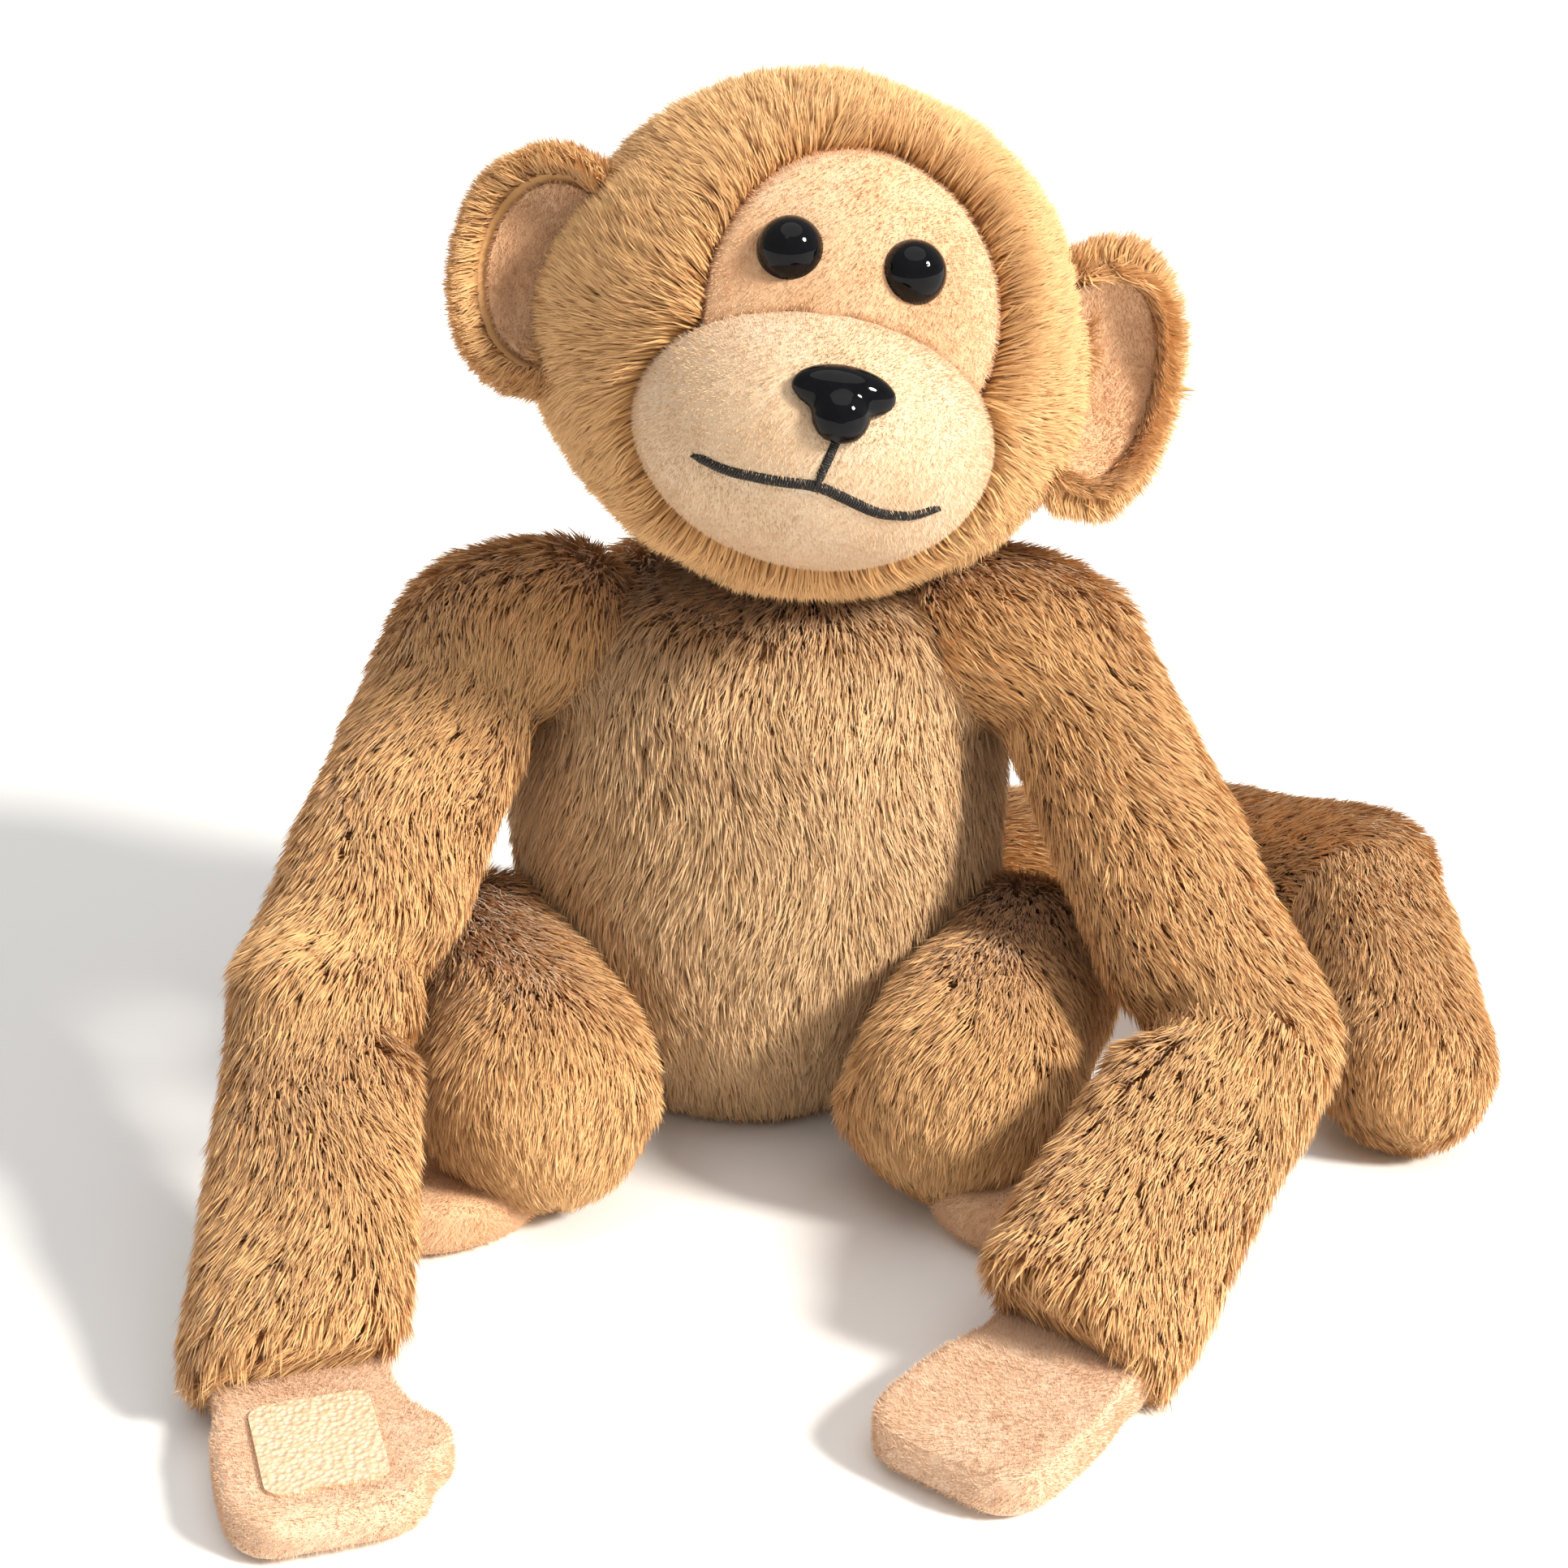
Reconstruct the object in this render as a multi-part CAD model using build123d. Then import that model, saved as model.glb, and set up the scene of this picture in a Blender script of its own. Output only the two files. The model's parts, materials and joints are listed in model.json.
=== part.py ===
from build123d import *
from math import cos, radians, sin, sqrt, tan
import os

# A seated plush monkey: fur and short-pile cloth skins over stuffing, jointed at its seams.
# Millimetres, +Z up. It faces -Y and its own left side is on +X.
# The origin is the centre of the flat seat, on the surface that it sits on.

# ---- cloth and clearances -------------------------------------------------------------------
fur_wall = 3.0            # long-pile fur cloth
plush_wall = 1.5          # short-pile cloth of hands, feet and ears
seam_gap = 0.4            # opening left at a part that turns on its neighbour
floor_gap = 0.2           # how far limbs and tail stay above the surface

# ---- torso ----------------------------------------------------------------------------------
torso_height = 111.0
torso_dip = 8.0           # the profile starts this far below the seat, and the seat cuts it flat
seat_radius = 24.0
belly_radius = 51.0
belly_height = 58.0
shoulder_radius = 34.0
torso_lean = 5.0          # degrees, towards +X

# ---- head -----------------------------------------------------------------------------------
head_radius = 48.0
head_yaw = 5.5            # degrees, the face turned towards +X
head_lift = 14.0          # degrees, the face looking up
head_tilt = 12.0          # degrees, the crown leaning towards +X
neck_offset = (4.3, -7.0, 9.0)    # the neck ball's middle, from the middle of the torso's top
neck_radius = 17.0
neck_sunk = 5.0           # how far the head comes down past the middle of the neck ball
head_shift = (2.0, -5.0)  # head's middle from the neck ball's middle, along X and Y

face_radius = 29.5        # round outline of the short-pile face panel
face_rise = 5.0           # its middle above the head's middle
face_drop = 1.0           # the short pile lies this much lower than the fur cloth
muzzle_radius = 32.5      # seen from above
muzzle_half_height = 24.0
muzzle_forward = 16.0     # its front beyond the front of the head
muzzle_drop = 17.0        # its middle below the head's middle

# ---- eyes, nose and stitched mouth ------------------------------------------------------------
eye_radius = 6.0
eye_dome = 5.0
eye_spread = 11.5         # from the middle line
eye_rise = 14.7
eye_sink = 0.6            # how far the rim is pressed into the cloth
shank_radius = 1.8
shank_length = 11.0
washer_radius = 7.0
washer_thick = 1.5
washer_set = 1.9          # behind the cloth

nose_half_width = 9.3
nose_bar_radius = 4.6
nose_lobe_radius = 5.2
nose_lobe_drop = 4.4
nose_rise = 7.0           # above the muzzle's middle
nose_sink = 1.0

thread_width = 1.6
thread_raise = 0.6
mouth_half_width = 22.0
mouth_drop = 8.6          # below the muzzle's middle

# ---- ears -----------------------------------------------------------------------------------
ear_half = (18.0, 22.5)   # half width, half height
ear_cup_radius = 34.0     # how sharply its front is dished
ear_cloth = 3.0
ear_border = 3.0          # fur left showing round the lining
ear_out = 3.0             # middle of the ear beyond the side of the head
ear_back = 3.0
ear_rise = 2.2
ear_root_gap = 2.2
ear_turn = {"right": 14.0, "left": 24.0}

# ---- arms -----------------------------------------------------------------------------------
shoulder_height = 92.0    # where the arm's root ball faces the torso
shoulder_heading = {"right": 192.0, "left": 348.0}  # degrees, counter-clockwise from +X
elbow_offset = {"right": (-24, -58, -47), "left": (33, -57, -57)}  # from the shoulder
wrist_offset = {"right": (0, -60), "left": (-35, -54)}             # from the elbow, along X and Y
hand_heading = {"right": 287.0, "left": 231.0}   # degrees, counter-clockwise from +X
arm_root_radius = 16.5
elbow_radius = 17.5
wrist_radius = 19.5
upper_arm_flat = 0.84     # thickness over width
forearm_flat = 0.66
elbow_limit = {"right": 90.0, "left": 90.0}      # most that the arm folds, from straight

# ---- hands ----------------------------------------------------------------------------------
hand_width = 35.0
hand_length = 41.0        # from the wrist fold to the finger tips
hand_thick = 9.0
hand_corner = 12.0
thumb_radius = 7.5
thumb_reach = -2.5        # its centre beyond the side of the hand
thumb_along = 19.0        # from the wrist fold
patch_size = (21.0, 25.0)
patch_thick = 1.2
patch_corner = 3.0
patch_raise = 0.6
patch_along = 21.0

# ---- legs and feet --------------------------------------------------------------------------
hip_height = 35.0         # where the thigh's flat seam faces the torso
hip_heading = {"right": 209.0, "left": 334.0}  # degrees, counter-clockwise from +X
hip_radius = 19.0
hip_seat = 13.0           # middle of the thigh's root, out from its flat seam
leg_end_radius = 22.5
leg_end_offset = {"right": (12, -32), "left": (-13, -31)}  # from the middle of the thigh's root
leg_end_lift = 4.0        # the leg end's underside above the surface
thigh_gap = 7.0           # left between the foot and the thigh's root so that the foot can tip
foot_length = 42.0
foot_width = 33.0
foot_thick = 12.0
foot_edge = 4.5           # rounding of the foot's rim
foot_heading = {"right": 203.0, "left": 312.0}   # degrees, counter-clockwise from +X
foot_reach = {"right": 21.0, "left": 17.5}   # foot's middle, from the middle of the leg end

# ---- tail -----------------------------------------------------------------------------------
tail_root_height = 24.0
tail_root_heading = 76.0
tail_runs = [(87, -13, 9), (32, -38, 10), (4, -42)]   # each length's run; the last ends on the surface
tail_radii = [13.0, 14.5, 15.5, 17.0]
tail_limits = [75.0, 83.0]        # most that the tail folds at its two bends, from straight

SIDES = {"right": -1, "left": 1}
REACH = 200.0             # longer than any part: how far the cutting solids run


# ---- shapes ---------------------------------------------------------------------------------
def ellipsoid(radius, half_height):
    """An egg shape, round about Z."""
    arc = EllipticalCenterArc((0, 0), radius, half_height, start_angle=-90, arc_size=180)
    return revolve(Plane.XZ * make_face(arc + Line(arc @ 1, arc @ 0)), axis=Axis.Z)


def ball(centre, radius):
    return Pos(*centre) * Sphere(radius)


def capsule(length, start_radius, end_radius, flat):
    """A round-ended limb along Z, flattened along Y; its end balls sit at 0 and at length."""
    lean = (start_radius - end_radius) / length
    rise = sqrt(1 - lean * lean)
    low = (start_radius * rise, start_radius * lean)
    high = (end_radius * rise, length + end_radius * lean)
    start_arc = RadiusArc((0, -start_radius), low, -start_radius)
    side = Line(low, high)
    end_arc = RadiusArc(high, (0, length + end_radius), -end_radius)
    middle = Line((0, length + end_radius), (0, -start_radius))
    limb = revolve(Plane.XZ * make_face(start_arc + side + end_arc + middle), axis=Axis.Z)
    return scale(limb, by=(1, flat, 1))


def limb_between(start, end, start_radius, end_radius, flat, thin_axis, inset):
    """A capsule from start to end, thinnest along thin_axis, made smaller all round by inset."""
    run = end - start
    place = Plane(origin=start, x_dir=thin_axis.cross(run), z_dir=run).location
    return place * capsule(run.length, start_radius - inset, end_radius - inset, flat)


def fold_axis(before, bend, after):
    """The axis that the limb folds about at bend: square to both of its runs."""
    return (bend - before).cross(after - bend).normalized()


def fold_cut(bend, axis, run, limit, gap):
    """What a limb that arrives along run loses at a fold: all past the axis, and its inner side."""
    run = run.normalized()
    slope = tan(radians(limit / 2))
    outline = Polygon((-REACH, -gap), (0, -gap), (REACH, -gap - REACH * slope), (REACH, REACH), (-REACH, REACH),
                      align=None)
    return extrude(Plane(origin=bend, x_dir=axis.cross(run), z_dir=-axis) * outline, amount=REACH, both=True)


def half_space(point, normal):
    """A large block in front of a plane, on the side that normal points to."""
    block = Box(REACH * 2, REACH * 2, REACH * 2, align=(Align.CENTER, Align.CENTER, Align.MIN))
    return Plane(origin=point, z_dir=normal).location * block


def save(name, shape):
    """Write one sub-part: a single solid, or a compound when it really is several."""
    solids = Compound(shape).solids()
    body = solids[0] if len(solids) == 1 else Compound(children=solids)
    export_step(body, f"parts/{name}.step")


def save_stuffed(name, make, wall):
    """Write a stuffed part as its cloth skin and the stuffing that fills it."""
    stuffing = make(wall)
    save(f"{name}_skin", make(0) - stuffing)
    save(f"{name}_stuffing", stuffing)


# ---- torso ----------------------------------------------------------------------------------
def torso_form(inset):
    """Pear-shaped body, cut flat at the seat."""
    belly = (belly_radius - inset, belly_height)
    bottom = (seat_radius - inset, -torso_dip)
    top = (shoulder_radius - inset, torso_height - inset)
    outline = TangentArc(belly, bottom, tangent=(0, -1)) + TangentArc(belly, top, tangent=(0, 1))
    outline += Polyline(top, (0, top[1]), (0, bottom[1]), bottom)
    body = Rot(Y=torso_lean) * revolve(Plane.XZ * make_face(outline), axis=Axis.Z)
    return body - half_space((0, 0, inset), (0, 0, -1))


def torso_middle(height):
    """The torso's leaning middle line at a given height."""
    return Vector(height * tan(radians(torso_lean)), 0, height)


def seam_plane(height, heading):
    """A plane on the torso's surface, its Z pointing straight out of it."""
    outward = Vector(cos(radians(heading)), sin(radians(heading)), 0)
    hits = torso_outside.find_intersection_points(Axis(torso_middle(height), outward))
    point, normal = max(hits, key=lambda hit: (hit[0] - torso_middle(height)).dot(outward))
    return Plane(origin=point, z_dir=normal if normal.dot(outward) > 0 else -normal)


def torso_solid(inset):
    return torso_form(inset) - ball(neck_point, neck_radius + seam_gap + inset)


torso_outside = torso_form(0)
neck_point = torso_middle(torso_height) + Vector(*neck_offset)
head_centre = neck_point + Vector(*head_shift, head_radius - neck_sunk)


# ---- head -----------------------------------------------------------------------------------
head_place = Pos(*head_centre) * Rot(Z=head_yaw) * Rot(X=-head_lift) * Rot(Y=head_tilt)
neck_in_head = (head_place.inverse() * Pos(*neck_point)).position
muzzle_centre = Vector(0, muzzle_radius - muzzle_forward - head_radius, -muzzle_drop)


def front_plane(centre, radius, half_height, x, z):
    """A plane on the front of an egg shape, its Z pointing straight out of the surface."""
    y = -radius * sqrt(1 - (x / radius) ** 2 - (z / half_height) ** 2)
    outward = Vector(x / radius ** 2, y / radius ** 2, z / half_height ** 2)
    return Plane(origin=centre + Vector(x, y, z), x_dir=(1, 0, 0), z_dir=outward)


def eye_solid():
    """A domed eye on its shank, turned in one piece; Z points out and 0 is the surface of the cloth."""
    dome = TangentArc((0, eye_dome), (eye_radius, -eye_sink), tangent=(1, 0))
    back = Polyline((eye_radius, -eye_sink), (shank_radius, -eye_sink), (shank_radius, -shank_length),
                    (0, -shank_length), (0, eye_dome))
    return revolve(Plane.XZ * make_face(dome + back), axis=Axis.Z)


def nose_solid():
    """A moulded nose, a wide upper bar and a lower lobe, flat behind, on its shank."""
    bar = Rot(Y=90) * ellipsoid(nose_bar_radius, nose_half_width)
    front = bar + Pos(0, -nose_lobe_drop, 0) * Sphere(nose_lobe_radius)
    shank = Cylinder(shank_radius, shank_length, align=(Align.CENTER, Align.CENTER, Align.MAX))
    return Pos(0, 0, -nose_sink) * ((front - half_space((0, 0, 0), (0, 0, -1))) + shank)


def washer_behind(cloth):
    """The ring that locks a shank behind cloth of this thickness."""
    ring = Cylinder(washer_radius, washer_thick) - Cylinder(shank_radius, washer_thick)
    return Pos(0, 0, -cloth - washer_set - washer_thick / 2) * ring


def muzzle_form(grow):
    return Pos(*muzzle_centre) * ellipsoid(muzzle_radius + grow, muzzle_half_height + grow)


def front_bar(width, top, bottom):
    """A block across the front of the muzzle, between two heights in the head's frame."""
    bar = Box(width, REACH, top - bottom, align=(Align.CENTER, Align.MAX, Align.MIN))
    return Pos(0, muzzle_centre.Y, bottom) * bar


def build_head():
    """The head's cloth panels, stuffing, eyes, nose and mouth, in the head's own frame."""
    core = Sphere(head_radius - fur_wall)
    face_outside = Sphere(head_radius - face_drop)
    window = extrude(Plane.XZ * Pos(0, face_rise) * Circle(face_radius), amount=REACH)
    neck_hollow = ball(neck_in_head, neck_radius + seam_gap)
    neck_lining = ball(neck_in_head, neck_radius + seam_gap + fur_wall)
    muzzle_outside, muzzle_inside = muzzle_form(0), muzzle_form(-plush_wall)

    nose_place = front_plane(muzzle_centre, muzzle_radius, muzzle_half_height, 0, nose_rise).location
    nose = nose_place * nose_solid()
    nose_washer = nose_place * washer_behind(plush_wall)
    face = ((face_outside - core) & window) - muzzle_outside
    stuffing = core - neck_lining - nose - nose_washer
    pieces = {}
    for name, side in SIDES.items():
        plush_radius = head_radius - face_drop
        spot = (side * eye_spread, eye_rise)
        place = front_plane(Vector(0, 0, 0), plush_radius, plush_radius, *spot).location
        eye = place * eye_solid()
        eye_washer = place * washer_behind(fur_wall - face_drop)
        face -= eye
        stuffing = stuffing - eye - eye_washer
        pieces[f"{name}_eye"] = eye
        pieces[f"{name}_eye_washer"] = eye_washer

    fur = (Sphere(head_radius) - neck_hollow) - (core - neck_lining)
    raised = muzzle_form(thread_raise) - muzzle_outside
    mouth_height = muzzle_centre.Z - mouth_drop
    mouth_top = mouth_height + thread_width / 2
    lip_top = muzzle_centre.Z + nose_rise - nose_lobe_drop
    pieces["head_fur_skin"] = fur - window - muzzle_outside
    pieces["head_stuffing"] = stuffing
    pieces["face_panel"] = face
    pieces["muzzle_panel"] = muzzle_outside - muzzle_inside - core - nose
    pieces["muzzle_stuffing"] = muzzle_inside - core - nose - nose_washer
    pieces["nose"] = nose
    pieces["nose_washer"] = nose_washer
    pieces["mouth_stitching"] = raised & front_bar(2 * mouth_half_width, mouth_top, mouth_top - thread_width)
    pieces["lip_stitching"] = (raised & front_bar(thread_width, lip_top, mouth_top)) - nose
    return pieces


def dish(radius, wall, half_width, half_height):
    """A plate dished to the front, with an oval rim and its deepest point at the origin."""
    shell = Sphere(radius) - Sphere(radius - wall)
    rim = extrude(Plane.XZ * Ellipse(half_width, half_height), amount=-radius)
    return Pos(0, -radius, 0) * (shell & rim)


def build_ear(name, side):
    """A cupped ear: a fur back with a short-pile lining, in the head's frame."""
    clear_head = Sphere(head_radius + ear_root_gap)
    place = Pos(side * (head_radius + ear_out), ear_back, ear_rise) * Rot(Z=side * ear_turn[name])
    back = place * dish(ear_cup_radius, ear_cloth, *ear_half)
    lining_size = [size - ear_border for size in ear_half]
    lining = place * Pos(0, -ear_cloth, 0) * dish(ear_cup_radius - ear_cloth, plush_wall, *lining_size)
    return {f"{name}_ear_back": back - clear_head, f"{name}_ear_lining": lining - clear_head}


# ---- arms and hands ---------------------------------------------------------------------------
def arm_points(name):
    """Shoulder, elbow and wrist; the wrist is just high enough to clear the surface."""
    seam = seam_plane(shoulder_height, shoulder_heading[name])
    shoulder = seam.origin + seam.z_dir * (arm_root_radius + seam_gap)
    elbow = shoulder + Vector(*elbow_offset[name])
    wrist_height = wrist_radius * forearm_flat + floor_gap
    wrist = Vector(elbow.X + wrist_offset[name][0], elbow.Y + wrist_offset[name][1], wrist_height)
    return shoulder, elbow, wrist


def hand_frame(name):
    """The hand's own frame: Y runs to the finger tips, Z is up and the wrist fold is along X."""
    turn = radians(hand_heading[name])
    forward = Vector(cos(turn), sin(turn), 0)
    wrist = arm_points(name)[2]
    height = hand_thick / 2 + patch_raise + floor_gap
    start = Vector(wrist.X, wrist.Y, height) + forward * (hand_thick / 2)
    return Plane(origin=start, x_dir=forward.cross(Vector(0, 0, 1)), z_dir=(0, 0, 1))


def upper_arm(name, inset):
    shoulder, elbow, wrist = arm_points(name)
    axis = fold_axis(shoulder, elbow, wrist)
    limb = limb_between(shoulder, elbow, arm_root_radius, elbow_radius, upper_arm_flat, axis, inset)
    return limb - fold_cut(elbow, axis, elbow - shoulder, elbow_limit[name], seam_gap + inset)


def forearm(name, inset):
    shoulder, elbow, wrist = arm_points(name)
    axis = fold_axis(shoulder, elbow, wrist)
    limb = limb_between(elbow, wrist, elbow_radius, wrist_radius, forearm_flat, axis, inset)
    limb -= fold_cut(elbow, -axis, elbow - wrist, elbow_limit[name], seam_gap + inset)
    frame = hand_frame(name)
    run = (wrist - elbow).normalized()
    face_normal = (run - frame.x_dir * run.dot(frame.x_dir)).normalized()
    face_point = frame.origin - face_normal * (hand_thick / 2 + seam_gap + inset)
    return limb - half_space(face_point, face_normal)


def hand_outline(thumb_side, inset):
    """The hand seen from above: square at the wrist fold, round at the tips, with a thumb."""
    width = hand_width - 2 * inset
    length = hand_length + hand_thick / 2 - 2 * inset
    outline = Pos(0, inset - hand_thick / 2) * Rectangle(width, length, align=(Align.CENTER, Align.MIN))
    outline = fillet(outline.vertices().sort_by(Axis.Y)[-2:], hand_corner - inset)
    if thumb_side:
        root = (thumb_side * hand_width / 4, thumb_along - thumb_radius)
        tip = (thumb_side * (hand_width / 2 + thumb_reach), thumb_along + thumb_radius / 2)
        outline += bar_between(root, tip, thumb_radius - inset)
    return outline


def bar_between(start, end, radius):
    """A round-ended bar of this half width from start to end."""
    path = Line(start, end)
    return Pos(*(path @ 0.5)) * Rot(Z=path.tangent_angle_at(0)) * SlotCenterToCenter(path.length, 2 * radius)


def hand_slab(thumb_side, inset):
    """The whole hand: the outline, with the fold edge and the tips rounded over its thickness."""
    radius = hand_thick / 2 - inset
    length = hand_length + hand_thick / 2 - 2 * inset
    side_view = Pos(hand_length / 2 - hand_thick / 4, 0) * SlotOverall(length, 2 * radius)
    side_bar = extrude(Plane.YZ * side_view, amount=REACH / 2, both=True)
    return side_bar & extrude(hand_outline(thumb_side, inset), amount=hand_thick, both=True)


def build_hand(name, palm_up, thumb_side):
    """Palm, back, stuffing and the hook-and-loop patch on the palm, in the hand's frame."""
    facing = 1 if palm_up else -1
    slab = hand_slab(thumb_side, 0)
    stuffing = hand_slab(thumb_side, plush_wall)
    cloth = slab - stuffing
    patch_plan = RectangleRounded(*patch_size, patch_corner)
    patch_height = facing * (hand_thick / 2 + patch_raise - patch_thick / 2)
    patch = Pos(0, patch_along, patch_height) * extrude(patch_plan, amount=patch_thick / 2, both=True)
    palm_side = half_space((0, 0, 0), (0, 0, facing))
    place = hand_frame(name).location
    return {f"{name}_hand_palm": place * ((cloth & palm_side) - patch),
            f"{name}_hand_back": place * (cloth - palm_side),
            f"{name}_hand_stuffing": place * (stuffing - patch),
            f"{name}_palm_patch": place * patch}


# ---- legs and feet --------------------------------------------------------------------------
def leg_points(name):
    """The flat seam on the torso, the middle of the thigh's root, and the middle of the leg end."""
    seam = seam_plane(hip_height, hip_heading[name])
    root = seam.origin + seam.z_dir * (hip_seat + seam_gap)
    end_x, end_y = leg_end_offset[name]
    return seam, root, Vector(root.X + end_x, root.Y + end_y, leg_end_radius + leg_end_lift)


def leg_solid(name, inset):
    seam, root, end = leg_points(name)
    leg = limb_between(root, end, hip_radius, leg_end_radius, 1.0, Vector(0, 0, 1), inset)
    return leg - half_space(seam.origin + seam.z_dir * (seam_gap + inset), -seam.z_dir)


def foot_slab(name, inset):
    """A thick oval paddle under the leg end, cleared by a ball so that it can tip."""
    turn = foot_heading[name]
    seam, root, leg_end = leg_points(name)
    middle = leg_end + Vector(cos(radians(turn)), sin(radians(turn)), 0) * foot_reach[name]
    plan = Ellipse(foot_length / 2 - inset, foot_width / 2 - inset)
    slab = extrude(plan, amount=foot_thick - 2 * inset)
    slab = fillet(slab.edges(), foot_edge - inset)
    slab = Pos(middle.X, middle.Y, floor_gap + inset) * Rot(Z=turn) * slab
    slab -= ball(leg_end, leg_end_radius + seam_gap + inset)
    clear_root, clear_end = hip_radius + thigh_gap + inset, leg_end_radius + seam_gap + inset
    return slab - limb_between(root, leg_end, clear_root, clear_end, 1.0, Vector(0, 0, 1), 0)


def build_foot(name):
    stuffing = foot_slab(name, plush_wall)
    cloth = foot_slab(name, 0) - stuffing
    upper_side = half_space((0, 0, floor_gap + foot_edge), (0, 0, 1))
    return {f"{name}_foot_top": cloth & upper_side, f"{name}_foot_sole": cloth - upper_side,
            f"{name}_foot_stuffing": stuffing}


# ---- tail -----------------------------------------------------------------------------------
def tail_route():
    """Middle of the tail's root, its two folds, and the middle of its round tip."""
    seam = seam_plane(tail_root_height, tail_root_heading)
    points = [seam.origin + seam.z_dir * (tail_radii[0] + seam_gap)]
    for run in tail_runs[:-1]:
        points.append(points[-1] + Vector(*run))
    tip_x, tip_y = tail_runs[-1]
    points.append(Vector(points[-1].X + tip_x, points[-1].Y + tip_y, tail_radii[-1] + floor_gap))
    return points


tail_points = tail_route()


def tail_piece(index, inset):
    """One of the tail's three lengths, cut at each fold that it shares with the next."""
    start, end = tail_points[index], tail_points[index + 1]
    limb = limb_between(start, end, tail_radii[index], tail_radii[index + 1], 1.0, Vector(0, 0, 1), inset)
    for fold in (index, index + 1):
        if 0 < fold < len(tail_points) - 1:
            axis = fold_axis(tail_points[fold - 1], tail_points[fold], tail_points[fold + 1])
            arrives = fold == index + 1
            run = end - start if arrives else start - end
            turn = axis if arrives else -axis
            limb -= fold_cut(tail_points[fold], turn, run, tail_limits[fold - 1], seam_gap + inset)
    return limb


# ---- write every sub-part -----------------------------------------------------------------------
os.makedirs("parts", exist_ok=True)
save_stuffed("torso", torso_solid, fur_wall)
save("neck_stuffing", ball(neck_point, neck_radius))
for node, solid in build_head().items():
    save(node, head_place * solid)
for side_name, side_sign in SIDES.items():
    for node, solid in build_ear(side_name, side_sign).items():
        save(node, head_place * solid)
    save_stuffed(f"{side_name}_upper_arm", lambda inset: upper_arm(side_name, inset), fur_wall)
    save_stuffed(f"{side_name}_forearm", lambda inset: forearm(side_name, inset), fur_wall)
    save_stuffed(f"{side_name}_leg", lambda inset: leg_solid(side_name, inset), fur_wall)
    for node, solid in build_foot(side_name).items():
        save(node, solid)
for node, solid in (build_hand("right", True, -1) | build_hand("left", False, 0)).items():
    save(node, solid)
for tail_index, tail_name in enumerate(("tail_root", "tail_middle", "tail_tip")):
    save_stuffed(tail_name, lambda inset: tail_piece(tail_index, inset), fur_wall)
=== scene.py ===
import json
import math

import bmesh
import bpy
import numpy as np
from mathutils import Matrix, Vector
from mathutils.bvhtree import BVHTree
from mathutils.kdtree import KDTree


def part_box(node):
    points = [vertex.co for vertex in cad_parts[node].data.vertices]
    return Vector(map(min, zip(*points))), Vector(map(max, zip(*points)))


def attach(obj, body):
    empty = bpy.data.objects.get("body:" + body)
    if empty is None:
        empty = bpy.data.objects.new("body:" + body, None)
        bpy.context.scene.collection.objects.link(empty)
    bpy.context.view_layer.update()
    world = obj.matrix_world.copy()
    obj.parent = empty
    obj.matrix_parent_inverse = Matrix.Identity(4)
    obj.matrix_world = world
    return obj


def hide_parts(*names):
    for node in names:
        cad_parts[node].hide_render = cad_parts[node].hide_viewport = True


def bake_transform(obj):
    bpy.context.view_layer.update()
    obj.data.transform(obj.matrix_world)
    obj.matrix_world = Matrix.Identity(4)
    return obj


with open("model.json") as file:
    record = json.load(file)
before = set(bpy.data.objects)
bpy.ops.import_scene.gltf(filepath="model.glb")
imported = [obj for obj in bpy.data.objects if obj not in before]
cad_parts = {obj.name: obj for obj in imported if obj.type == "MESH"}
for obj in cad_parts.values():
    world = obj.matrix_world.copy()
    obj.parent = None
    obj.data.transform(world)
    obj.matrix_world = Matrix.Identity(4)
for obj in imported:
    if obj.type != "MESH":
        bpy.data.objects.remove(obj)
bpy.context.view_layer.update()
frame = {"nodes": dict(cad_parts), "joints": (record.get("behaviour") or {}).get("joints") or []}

# ---- sizes, in metres unless a comment says otherwise

MM = 0.001
FUR_LENGTH = 8.5 * MM
FUR_WIDTH = 0.42 * MM
FUR_SINK = 2.6 * MM
ARM_SINK = 1.6 * MM
VELOUR_LENGTH = 1.4 * MM
VELOUR_WIDTH = 0.22 * MM
FLOOR_CLEARANCE = 0.25 * MM
LONG_FUR, EAR_FUR = 9 * MM, 8 * MM
FUR_STEPS, LOCK_HAIRS, LOCK_PULL = 2, 22, 0.32
# where the fur of the torso and of the head parts into front and back, and where the head covers it
TORSO_SPLIT, HEAD_SPLIT = 0.004, 0.002
BARE_UNDER_HEAD = 41 * MM
# how far the pile leans from the normal at root and tip, in degrees, and how much it wanders
VELOUR_LAY, VELOUR_SWIRL = (28, 28), 0.8
FUR_MAP = "OFBake"
SIDES = ("right", "left")

HEAD_CENTRE = Vector((16.0, -12.0, 162.5)) * MM
HEAD_TURN = (
    Matrix.Rotation(math.radians(5.5), 3, "Z")
    @ Matrix.Rotation(math.radians(-14), 3, "X")
    @ Matrix.Rotation(math.radians(12), 3, "Y")
)
HEAD_HALF = Vector((47.0, 43.5, 45.0)) * MM
FACE_HALF = (26.5 * MM, 29.5 * MM)
FACE_MIDDLE = (2.7 * MM, 5 * MM)
MUZZLE_CENTRE = Vector((0.0, -31.5, -17.0)) * MM
MUZZLE_HALF = Vector((32.5, 32.5, 24.0)) * MM

NOSE_SHIFT = Vector((0.6, 0, 2.0))
CHEEK_SWELL, CHEEK_HEIGHT, CHEEK_SPREAD = 0.06, -0.35, 0.4
HEAD_RIPPLE = 1.3
FACE_STEP = 3.5 * MM
FACE_RIM_TUCK = 5 * MM

JOINTS = {joint["name"]: joint for joint in frame["joints"]}

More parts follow.
